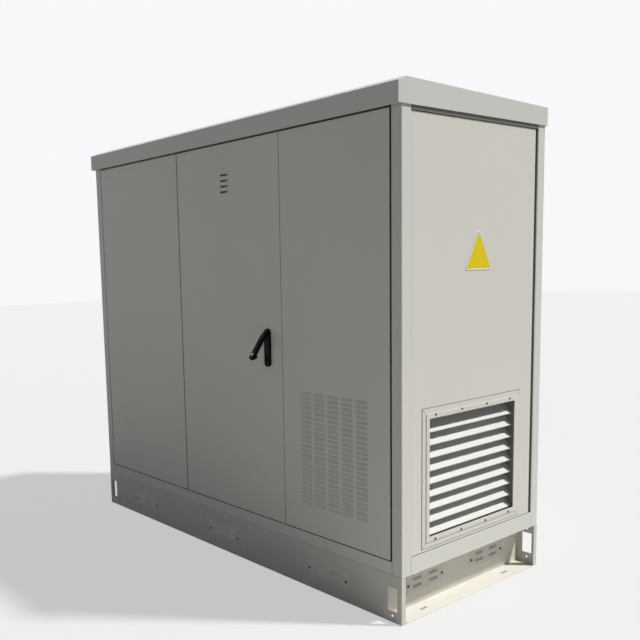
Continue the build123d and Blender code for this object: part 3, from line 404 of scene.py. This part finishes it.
# Zinc coat: grey crystals of a few millimetres, each with its own tone, under a dull bloom
def zinc(name):
    f = Finish(name)
    spangle = f.cells(90)
    colour = f.blend(spangle, (0.44, 0.455, 0.465), (0.56, 0.575, 0.585))
    bloom = f.spread(f.noise(7, 4), 0.45, 0.8, 0, 0.5)
    colour = f.blend(bloom, colour, (0.50, 0.50, 0.485))
    rough = f.spread(f.math("ADD", spangle, f.noise(40, 2)), 0.5, 1.5, 0.42, 0.60)
    return f.finish(colour, rough, f.bump(spangle, 0.00003), Metallic=0.75)


# Drawn or turned steel: fine lines along Z, their relief and a slow change in gloss
def drawnSteel(name, colour=(0.62, 0.61, 0.59), dark=0.6):
    f = Finish(name)
    lines = f.noise(160, 3, (1, 1, 0.06))
    mix = f.blend(f.spread(lines, 0.35, 0.7), shade(colour, dark), colour)
    rough = f.spread(f.noise(30, 2), 0.3, 0.7, 0.26, 0.42)
    return f.finish(mix, rough, f.bump(lines, 0.00004), Metallic=1.0)


# Woven wire: two sets of round wires across each other; where neither runs, the holes are painted near black as
# painted shade of the space behind
def wireMesh(name, pitch=0.0021, share=0.46):
    f = Finish(name)
    across = f.math("ADD", f.along("X"), f.along("Y"))  # the sheets stand along X or along Y
    wires = []
    for place in (across, f.along("Z")):
        turn = f.math("FRACT", f.math("MULTIPLY", place, 1 / pitch))
        off = f.math("ABSOLUTE", f.math("SUBTRACT", turn, 0.5))
        wires.append(f.spread(off, share / 2, share / 2 - 0.12))
    wire = f.math("MAXIMUM", *wires)
    colour = f.blend(f.noise(60, 3), (0.46, 0.465, 0.46), (0.60, 0.605, 0.60))
    # painted shade in the holes between the wires
    colour = f.blend(wire, (0.13, 0.125, 0.115), colour)
    rough = f.spread(f.noise(90, 2), 0.3, 0.7, 0.45, 0.65)
    return f.finish(colour, rough, f.bump(wire, 0.0004), Metallic=0.45)


# Rubber: near black with a chalky bloom and a fine moulded grain
def rubber(name, dark=(0.018, 0.018, 0.019), pale=(0.045, 0.044, 0.043)):
    f = Finish(name)
    colour = f.blend(f.noise(60, 3), dark, pale)
    return f.finish(colour, f.spread(f.noise(200, 2), 0.3, 0.7, 0.7, 0.9), f.bump(f.noise(900, 2), 0.0002))


# Moulded plastic: black with slightly paler rubbed patches and a fine grain
def grainedPlastic(name, colour=(0.0035, 0.0035, 0.0037)):
    f = Finish(name)
    rub = f.spread(f.noise(34, 4), 0.55, 0.8, 0, 0.45)
    mix = f.blend(rub, colour, shade(colour, 2.2))
    rough = f.spread(f.noise(90, 2), 0.3, 0.7, 0.42, 0.56)
    return f.finish(mix, rough, f.bump(f.noise(1500, 2), 0.00006), Specular_IOR_Level=0.07)


# Plated lock: dull bright metal with fine wear in its gloss
def plated(name):
    f = Finish(name)
    colour = f.blend(f.noise(120, 3), (0.26, 0.26, 0.26), (0.38, 0.38, 0.375))
    return f.finish(colour, f.spread(f.noise(300, 2), 0.3, 0.7, 0.24, 0.38), Metallic=1.0)


# Filter fleece: tangled fibres, greyed where dust has settled
def fleece(name):
    f = Finish(name)
    fibre = f.noise(520, 6, (0.35, 1, 1))
    colour = f.blend(fibre, (0.42, 0.43, 0.42), (0.78, 0.78, 0.75))
    colour = f.blend(f.spread(f.noise(11, 4), 0.4, 0.75, 0, 0.5), colour, (0.30, 0.285, 0.25))
    return f.finish(colour, None, f.bump(fibre, 0.0015), Roughness=0.95)


# Brass: bright where it is wiped, brown where it has tarnished
def brass(name):
    f = Finish(name)
    tarnish = f.spread(f.noise(16, 4), 0.4, 0.75)
    colour = f.blend(tarnish, (0.78, 0.58, 0.27), (0.42, 0.30, 0.14))
    return f.finish(colour, f.spread(f.noise(90, 2), 0.3, 0.7, 0.28, 0.45), Metallic=1.0)


# Enamel: an even colour that has faded a little in clouds, under a smooth gloss
def enamel(name, colour):
    f = Finish(name)
    fade = f.spread(f.noise(14, 2), 0.3, 0.7)
    mix = f.blend(fade, shade(colour, 0.975), colour)
    rough = f.spread(f.noise(60, 2), 0.3, 0.7, 0.30, 0.40)
    return f.finish(mix, rough, f.bump(f.noise(350, 1), 0.00003), Specular_IOR_Level=0.14)


# Coat, tone, dust and where its painted shade sits
paintJobs = {
    "cabinetPaint": (powderCoat, 1.0, 1.0),
    "framePaint": (coolCoat, 1.0, 1.0, frameGapShade),
    "headPaint": (coolCoat, 1.0, 1.0, underRoofShade),
    "leftDoorPaint": (powderCoat, 0.99, 0.8, leafEdgeShade("left_door")),
    "centreDoorPaint": (powderCoat, 0.99, 0.8, leafEdgeShade("centre_door")),
    "rightDoorPaint": (powderCoat, 0.99, 0.8, leafEdgeShade("right_door")),
    "roofPaint": (coolCoat, 0.945, 0.6),
    # the front and rear plinth are toned darker as painted shade, the plinth's ends toned lighter as painted light
    "plinthShadedPaint": (powderCoat, 0.90, 1.2),
    "plinthEndLitPaint": (powderCoat, 1.06, 0.45),
    "insertPaint": (powderCoat, 1.0, 1.0, tunnelShade),
    "bladePaint": (whiteCoat, 1.0, 0.1),
    "ventPaint": (powderCoat, 0.97, 0.6),
    # the baffle behind the door's slots is toned dark as painted shade
    "bafflePaintedShade": (powderCoat, 0.55, 1.0),
}
finishes = {
    "zinc": zinc("zincCoatedSheet"),
    "wireMesh": wireMesh("insectMesh"),
    "steel": drawnSteel("stainlessSteel"),
    "darkSteel": drawnSteel("blackenedSteel", (0.060, 0.058, 0.056), 0.5),
    "rubber": rubber("sealRubber"),
    "plastic": grainedPlastic("blackPlastic"),
    "plated": plated("platedLock"),
    "fleece": fleece("filterFleece"),
    "brass": brass("earthBrass"),
    "yellow": enamel("yellowEnamel", (0.74, 0.565, 0.004)),
    # grey sealant, made dark partly as painted shade of the gaps it fills
    "sealantAndShade": rubber("greySealantAndShade", (0.13, 0.13, 0.125), (0.20, 0.20, 0.19)),
    "white": enamel("whiteEnamel", (0.76, 0.75, 0.71)),
}
for name, job in paintJobs.items():
    finishes[name] = paint(name, *job)

nodeFinish = {
    "plinth_left_end": "plinthEndLitPaint", "plinth_right_end": "plinthEndLitPaint",
    "plinth_front_panel": "plinthShadedPaint", "plinth_rear_panel": "plinthShadedPaint",
    "plinth_vent_plates": "ventPaint", "plinth_screws": "darkSteel", "vent_meshes": "wireMesh",
    "base_frame": "framePaint", "top_frame": "headPaint", "roof": "roofPaint",
    "left_door": "leftDoorPaint", "centre_door": "centreDoorPaint", "right_door": "rightDoorPaint",
    "louvre_insert": "insertPaint", "louvre_blades": "bladePaint", "louvre_screws": "darkSteel",
    # the vent baffle takes the dark paint that stands for painted shade
    "handle_spindle": "plastic", "lever_pin": "darkSteel", "vent_baffle": "bafflePaintedShade",
}
for name in nodes:
    if name.endswith(("_post", "_mullion")):
        nodeFinish[name] = "framePaint"
slotFinish = {
    "cabinet_paint": "cabinetPaint", "door_paint": "cabinetPaint", "galvanised_steel": "zinc",
    "screw_steel": "steel", "seal_rubber": "rubber", "black_plastic": "plastic",
    "lock_chrome": "plated", "filter_fleece": "fleece", "earth_brass": "brass",
}


def dressNodes():
    slots = {s["node"]: s["material_slot"] for s in frame["record"]["subparts"]}
    for name, piece in nodes.items():
        finish = nodeFinish.get(name) or slotFinish[slots[name]]
        piece.data.materials.clear()
        piece.data.materials.append(finishes[finish])


dressNodes()
print("finishes on the nodes")


# New pieces: profiles turned round an axis or carried round an outline


def meshPiece(name, points, faces, finish, smooth=True):
    mesh = bpy.data.meshes.new(name)
    mesh.from_pydata(np.asarray(points, float).reshape(-1, 3).tolist(), [], faces)
    mesh.update()
    mesh.polygons.foreach_set("use_smooth", np.full(len(mesh.polygons), smooth))
    mesh.materials.append(finishes[finish])
    piece = bpy.data.objects.new(name, mesh)
    bpy.context.scene.collection.objects.link(piece)
    return piece


# Faces of a grid that closes on itself along its columns, and along its rows too where it is a ring
def gridFaces(rows, columns, start=0, ring=False):
    i, j = np.meshgrid(np.arange(rows if ring else rows - 1), np.arange(columns), indexing="ij")
    k = (j + 1) % columns
    n = (i + 1) % rows
    quads = np.stack([i * columns + j, i * columns + k, n * columns + k, n * columns + j], -1)
    return (quads.reshape(-1, 4) + start).tolist()


# Faces of an outline's two levels: the wall between them, and a flat face at either end
def prismFaces(n, start=0):
    return gridFaces(2, n, start) + capFaces(2, n, start)


# The flat faces that close the last row and the first row of a grid
def capFaces(rows, columns, start=0):
    last = start + (rows - 1) * columns
    return [list(range(last, last + columns)), list(range(start + columns - 1, start - 1, -1))]


# Turned heads: radius and rise give the profile, turned once round an axis along +X that leans up by an angle
def turnedHeads(spots, radius, rise, sides, lean=0.0):
    turn = np.linspace(0, 2 * math.pi, sides, endpoint=False)
    out = np.repeat(rise[:, None], sides, 1)
    y = radius[:, None] * np.cos(turn)
    up = radius[:, None] * np.sin(turn)
    x = out * math.cos(lean) - up * math.sin(lean)
    z = out * math.sin(lean) + up * math.cos(lean)
    head = np.stack([x, y, z], -1).reshape(-1, 3)
    points = (np.asarray(spots, float)[:, None] + head[None]).reshape(-1, 3)
    faces = []
    for n in range(len(spots)):
        start = n * len(head)
        faces += gridFaces(len(radius), sides, start) + capFaces(len(radius), sides, start)
    return points, faces


rivet = {
    "radius": 0.0033,
    "rise": 0.0013,
    "dome": ((1.0, 0.0), (0.97, 0.30), (0.75, 0.66), (0.5, 0.92)),  # shares of radius and rise
    "dimple": ((1.15, 1.0), (0.9, 0.35)),  # shares of the stem's radius and of the rise
    "stem": 0.0011,  # radius of the broken stem
    "stemTop": ((0.9, 0.0), (0.88, 0.50), (0.4, 0.62)),
    "sides": 16,
    "topRow": (-0.321, -0.119, 0.087, 0.282),
    "sideRow": (0.829, 0.592, 0.359),
    "fromEdge": 0.0085,
}


# Blind rivets round the cover frame: a flat dome with a dimple, and the stem at its bottom, near black as painted
# shade of the rivet's bore
def coverRivets(values):
    low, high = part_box("louvre_cover_frame")
    e, face = values["fromEdge"], high.x
    spots = [(face, y, z) for y in values["topRow"] for z in (low.z + e, high.z - e)]
    spots += [(face, y, z) for z in values["sideRow"] for y in (low.y + e, high.y - e)]
    dome = np.array(values["dome"]) * (values["radius"], values["rise"])
    dimple = np.array(values["dimple"]) * (values["stem"], values["rise"])
    radius, rise = np.concatenate([dome, dimple]).T
    heads = meshPiece("cover_rivets", *turnedHeads(spots, radius, rise, values["sides"]), "cabinetPaint")
    radius, rise = (np.array(values["stemTop"]) * (values["stem"], values["rise"])).T
    # the near black stems are painted shade in the rivets' bores
    stems = meshPiece("rivet_stems", *turnedHeads(spots, radius, rise, values["sides"] // 2), "darkSteel")
    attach(heads, "cabinet")
    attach(stems, "cabinet")


coverRivets(rivet)

signPlate = {
    "centre": (0.0045, 1.5325),  # Y and Z of the middle of its height
    "width": 0.189,
    "height": 0.174,
    "corner": 0.009,
    "thickness": 0.0012,
    "rim": 0.0062,  # width of the rolled rim
    "rimRise": 0.0022,
    "rimRings": 7,
    "fieldInset": 0.55,  # share of the rim that covers the field
}


# Outline of a triangle standing on its base: three arcs round the corners of a smaller triangle
def roundedTriangle(width, height, corner, steps=10):
    half = width / 2
    slope = math.atan2(height, half)
    inset = corner / math.tan(slope / 2)
    top = height - corner / math.cos(slope)
    centres = np.array([(-half + inset, corner), (half - inset, corner), (0, top)])
    first = np.array([-math.pi / 2 - (math.pi - slope), -math.pi / 2, math.pi / 2 - slope])
    sweep = np.array([math.pi - slope, math.pi - slope, 2 * slope])
    turn = first[:, None] + sweep[:, None] * np.linspace(0, 1, steps)
    outline = centres[:, None] + corner * np.stack([np.cos(turn), np.sin(turn)], -1)
    return outline.reshape(-1, 2) - [0, height / 2]


# Directions out of a closed outline, square to the line between each point's neighbours
def outward(outline):
    along = np.roll(outline, -1, 0) - np.roll(outline, 1, 0)
    out = np.stack([along[:, 1], -along[:, 0]], -1)
    return out / np.linalg.norm(out, axis=1)[:, None]


# A bare three-cornered plate: a flat yellow field inside a pale rim, whose section is half an ellipse
def plainSign(values):
    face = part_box("right_end_panel")[1].x
    cy, cz = values["centre"]
    outline = roundedTriangle(values["width"], values["height"], values["corner"])
    out = outward(outline)
    angle = np.linspace(math.pi, 0, values["rimRings"])
    inward = (1 + np.cos(angle)) / 2 * values["rim"]
    rise = np.sin(angle) * values["rimRise"]
    n = len(outline)
    rings = [np.column_stack([np.full(n, face + r), outline - out * d]) for d, r in zip(inward, rise)]
    points = np.concatenate(rings) + [0, cy, cz]
    rim = meshPiece("plain_sign_rim", points, gridFaces(len(rings), n, ring=True), "white")
    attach(rim, "cabinet")
    field = outline - out * values["rim"] * values["fieldInset"]
    levels = (0.0, values["thickness"])
    points = np.concatenate([np.column_stack([np.full(n, face + x), field]) for x in levels])
    plate = meshPiece("plain_sign_plate", points + [0, cy, cz], prismFaces(n), "yellow", False)
    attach(plate, "cabinet")


plainSign(signPlate)

print("rivets and sign plate made")

bladeWeld = {
    "across": (-0.133, 0.057, 0.238),  # places along the blade in Y
    "slopeRun": 0.040,  # the blade's slope in X and Z
    "slopeFall": 0.038,
    "share": 0.5,  # how far up the slope
    "radius": 0.0056,
    "rise": 0.0032,
    "rings": 6,
    "sides": 14,
    "round": 0.9,  # share of the quarter circle that the dome follows, before its flat top
}


# Weld heads on the top blade: low domes whose axis is square to the slope
def bladeWelds(values):
    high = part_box("louvre_blades")[1]
    run, fall, share = values["slopeRun"], values["slopeFall"], values["share"]
    x, z = high.x - run * share, high.z - fall * (1 - share)
    spots = [(x, y, z) for y in values["across"]]
    angle = np.linspace(0, math.pi / 2 * values["round"], values["rings"])
    radius = np.cos(angle) * values["radius"]
    rise = np.sin(angle) * values["rise"]
    lean = math.atan2(run, fall)
    piece = meshPiece("blade_welds", *turnedHeads(spots, radius, rise, values["sides"], lean), "steel")
    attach(piece, "cabinet")


bladeWelds(bladeWeld)

coverTrim = {
    "beadWidth": 0.0030,  # the sealant bead round the cover frame
    "beadRise": 0.0013,
    "beadCorner": 0.0015,
    "beadRings": 5,
    "mitreWidth": 0.0016,
    "mitreStart": 0.02,  # share of the diagonal at which the joint starts
    "mitreSunk": 0.0004,
    "mitreRise": 0.00022,
}


# Points of a rectangle with rounded corners, turning once round its middle
def roundedRectangle(y0, y1, z0, z1, corner, steps=6):
    ends = np.array([(y1, z1), (y0, z1), (y0, z0), (y1, z0)])
    centres = ends - corner * np.array([(1, 1), (-1, 1), (-1, -1), (1, -1)])
    turn = (np.arange(4)[:, None] + np.linspace(0, 1, steps)) * math.pi / 2
    return (centres[:, None] + corner * np.stack([np.cos(turn), np.sin(turn)], -1)).reshape(-1, 2)


# A section carried round a closed outline: each of its points lies so far out of the outline and so high
def carriedRound(outline, section):
    out = outward(outline)
    rings = [np.column_stack([np.full(len(outline), rise), outline + out * away]) for away, rise in section]
    return np.concatenate(rings), gridFaces(len(rings), len(outline), ring=True)


# The bead of sealant round the cover frame, and the mitre joint at each of its corners; their dark grey is partly
# the sealant's own and partly painted shade of the gaps
def coverTrimPieces(values):
    low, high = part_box("louvre_cover_frame")
    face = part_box("right_end_panel")[1].x
    outline = roundedRectangle(low.y, high.y, low.z, high.z, values["beadCorner"])
    angle = np.linspace(math.pi / 2, 0, values["beadRings"])
    w, r = values["beadWidth"], values["beadRise"]
    section = [(0.0, face)] + [(w * math.cos(a), face + r * math.sin(a)) for a in angle]
    points, faces = carriedRound(outline, section)
    # dark grey bead: sealant, and painted shade of the gap round the frame
    bead = meshPiece("cover_sealant", points, faces, "sealantAndShade")
    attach(bead, "cabinet")
    boxes = ((low, high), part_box("louvre_insert"))
    corners, inner = (np.array([(a.y, a.z), (b.y, a.z), (b.y, b.z), (a.y, b.z)]) for a, b in boxes)
    along = inner - corners
    side = np.stack([-along[:, 1], along[:, 0]], -1) / np.linalg.norm(along, axis=1)[:, None]
    side *= values["mitreWidth"] / 2
    start = corners + along * values["mitreStart"]
    ring = np.stack([start - side, inner - side, inner + side, start + side], 1)
    levels = [high.x - values["mitreSunk"], high.x + values["mitreRise"]]
    points = np.stack([np.concatenate([np.full((4, 4, 1), x), ring], -1) for x in levels], 1)
    faces = sum((prismFaces(4, n * 8) for n in range(4)), [])
    # dark grey mitre strips: sealant, and painted shade of the corner joints
    joints = meshPiece("cover_mitres", points, faces, "sealantAndShade", False)
    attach(joints, "cabinet")


coverTrimPieces(coverTrim)

doorSeal = {
    "width": 0.014,
    "corner": 0.016,  # radius of the bends along the middle of the seal
    "cornerSteps": 10,
    "footRise": 0.0028,
    "foot": ((1.0, 0.0), (1.0, 0.8), (0.97, 1.0)),  # shares of half the width and of the foot's rise
    "bulb": 0.0052,  # half the width of the hollow bulb
    "bulbPoints": 13,
    "bulbPower": 0.8,  # below one the bulb is fuller than a half circle
}


# Door seals: a foot stuck to the leaf and a round bulb above it, carried round the back of the leaf
def doorSeals(values):
    w, b, foot = values["width"] / 2, values["bulb"], values["footRise"]
    for leafName in ("left", "centre", "right"):
        low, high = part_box(leafName + "_door_seal")
        depth = high.y - low.y
        angle = np.linspace(0, math.pi, values["bulbPoints"])
        rise = np.abs(np.sin(angle)) ** values["bulbPower"]
        crown = [(b * math.cos(a), foot + (depth - foot) * r) for a, r in zip(angle, rise)]
        right = [(w * x, foot * y) for x, y in values["foot"]]
        section = right + crown + [(-x, y) for x, y in right[::-1]]
        sides = (low.x + w, high.x - w, low.z + w, high.z - w)
        outline = roundedRectangle(*sides, values["corner"], values["cornerSteps"])
        points, faces = carriedRound(outline, section)
        points = np.column_stack([points[:, 1], low.y + points[:, 0], points[:, 2]])
        seal = meshPiece(leafName + "_door_bulb_seal", points, faces, "rubber")
        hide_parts(leafName + "_door_seal")
        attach(seal, leafName + "_leaf")


doorSeals(doorSeal)

filterMat = {
    "rows": 90,
    "columns": 180,
    "squareness": 0.22,  # power of the rounded section; smaller is squarer
    "hills": 0.0011,
    "hillLength": 0.055,
    "hillStretch": 0.8,  # how often the hills come along Z, against along Y
    "hillShift": 0.6,  # where the hills start along Z, as an angle
    "closing": (12, 1 / 3),  # powers with which the thickness closes at the ends
    "pinch": 0.004,  # share by which the width closes with it
    "endGap": 0.995,  # share of the quarter turn at which the rows end
}


# Filter mat: a rounded block, its section |x|^n + |y|^n = 1, where n is 2 over the squareness. It closes
# towards both ends, and low soft hills of sin(y) cos(z) thin it a little
def fleeceMat(values):
    low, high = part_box("filter_mat")
    middle = np.array([(low.x + high.x) / 2, (low.y + high.y) / 2, (low.z + high.z) / 2])
    half = np.array([high.x - low.x, high.y - low.y, high.z - low.z]) / 2
    power = values["squareness"]
    v = np.sin(np.linspace(-math.pi / 2, math.pi / 2, values["rows"]) * values["endGap"])
    turn = np.linspace(0, 2 * math.pi, values["columns"], endpoint=False)
    cos, sin = np.cos(turn), np.sin(turn)
    y = np.sign(cos) * np.abs(cos) ** power
    x = np.sign(sin) * np.abs(sin) ** power
    steep, root = values["closing"]
    close = (1 - np.abs(v[:, None]) ** steep) ** root
    hill = 2 * math.pi / values["hillLength"]
    y, z = y * half[1] * (1 - values["pinch"] * (1 - close)), v[:, None] * half[2] * np.ones_like(y)
    along = np.cos(z * hill * values["hillStretch"] + values["hillShift"])
    dip = values["hills"] * (1 + np.sin(y * hill) * along) / 2
    x = x * close * (half[0] - dip)
    points = np.stack([x, y, z], -1).reshape(-1, 3) + middle
    grid = (values["rows"], values["columns"])
    faces = gridFaces(*grid) + capFaces(*grid)
    mat = meshPiece("filter_fleece_mat", points, faces, "fleece")
    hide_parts("filter_mat")
    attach(mat, "cabinet")


fleeceMat(filterMat)

handleSocket = {
    "radius": 0.0124,
    "wall": 0.0016,
    "floor": 0.0003,
    "height": 0.0085,
    "above": 0.038,  # its middle above the plate's lower end
    "bevel": (0.6, 0.4),  # across and down, as shares of the wall
    "sides": 48,
}


# The black cup in the handle plate that takes the lever's collar: its section turned round an axis along Y
def plateSocket(values):
    low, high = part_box("handle_plate")
    r, w, t, h = (values[key] for key in ("radius", "wall", "floor", "height"))
    across, down = (w * share for share in values["bevel"])
    radius = np.array([r, r, r - across, r - w, r - w])
    rise = np.array([0.0, h, h, h - down, t])
    sides = values["sides"]
    turn = np.linspace(0, 2 * math.pi, sides, endpoint=False)
    x = (low.x + high.x) / 2 - radius[:, None] * np.cos(turn)
    z = low.z + values["above"] + radius[:, None] * np.sin(turn)
    y = high.y - np.repeat(rise[:, None], sides, 1)
    faces = gridFaces(len(radius), sides) + capFaces(len(radius), sides)
    cup = meshPiece("handle_socket_cup", np.stack([x, y, z], -1), faces, "plastic")
    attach(cup, "centre_leaf")


keyway = {
    "length": 0.0074,
    "width": 0.0015,
    "proud": 0.00008,
    "sunk": 0.0005,
    "endPoints": 9,
}


# The keyway in the lock's face: a long slot with round ends, square to the lock's own axis, drawn as a thin black
# plate that is painted shade of the opening
def lockKeyway(values):
    joint = next(j for j in frame["joints"] if j["name"] == "lock_turn")
    pivot, out = np.array(joint["pos_m"]), np.array(joint["axis"])  # the axis points out of the door
    mesh = nodes["lock_cylinder"].data
    places = np.empty(len(mesh.vertices) * 3)
    mesh.vertices.foreach_get("co", places)
    face = ((places.reshape(-1, 3) - pivot) @ out).max()
    side = np.array([1.0, 0.0, 0.0])
    up = np.cross(out, side)
    half, run = values["width"] / 2, (values["length"] - values["width"]) / 2
    turn = np.linspace(0, math.pi, values["endPoints"])
    ends = [half * np.stack([np.cos(turn + k), np.sin(turn + k)], -1) for k in (0, math.pi)]
    outline = np.concatenate([ends[0] + (0, run), ends[1] - (0, run)])
    flat = outline[:, :1] * side + outline[:, 1:] * up
    levels = [pivot + out * (face + d) + flat for d in (-values["sunk"], values["proud"])]
    faces = prismFaces(len(outline))
    # black plate standing for the keyway's opening, painted shade
    slot = meshPiece("lock_keyway", np.concatenate(levels), faces, "plastic", False)
    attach(slot, "lock_cylinder")


plateSocket(handleSocket)
lockKeyway(keyway)
print("trim, seals, filter mat and keyway made")
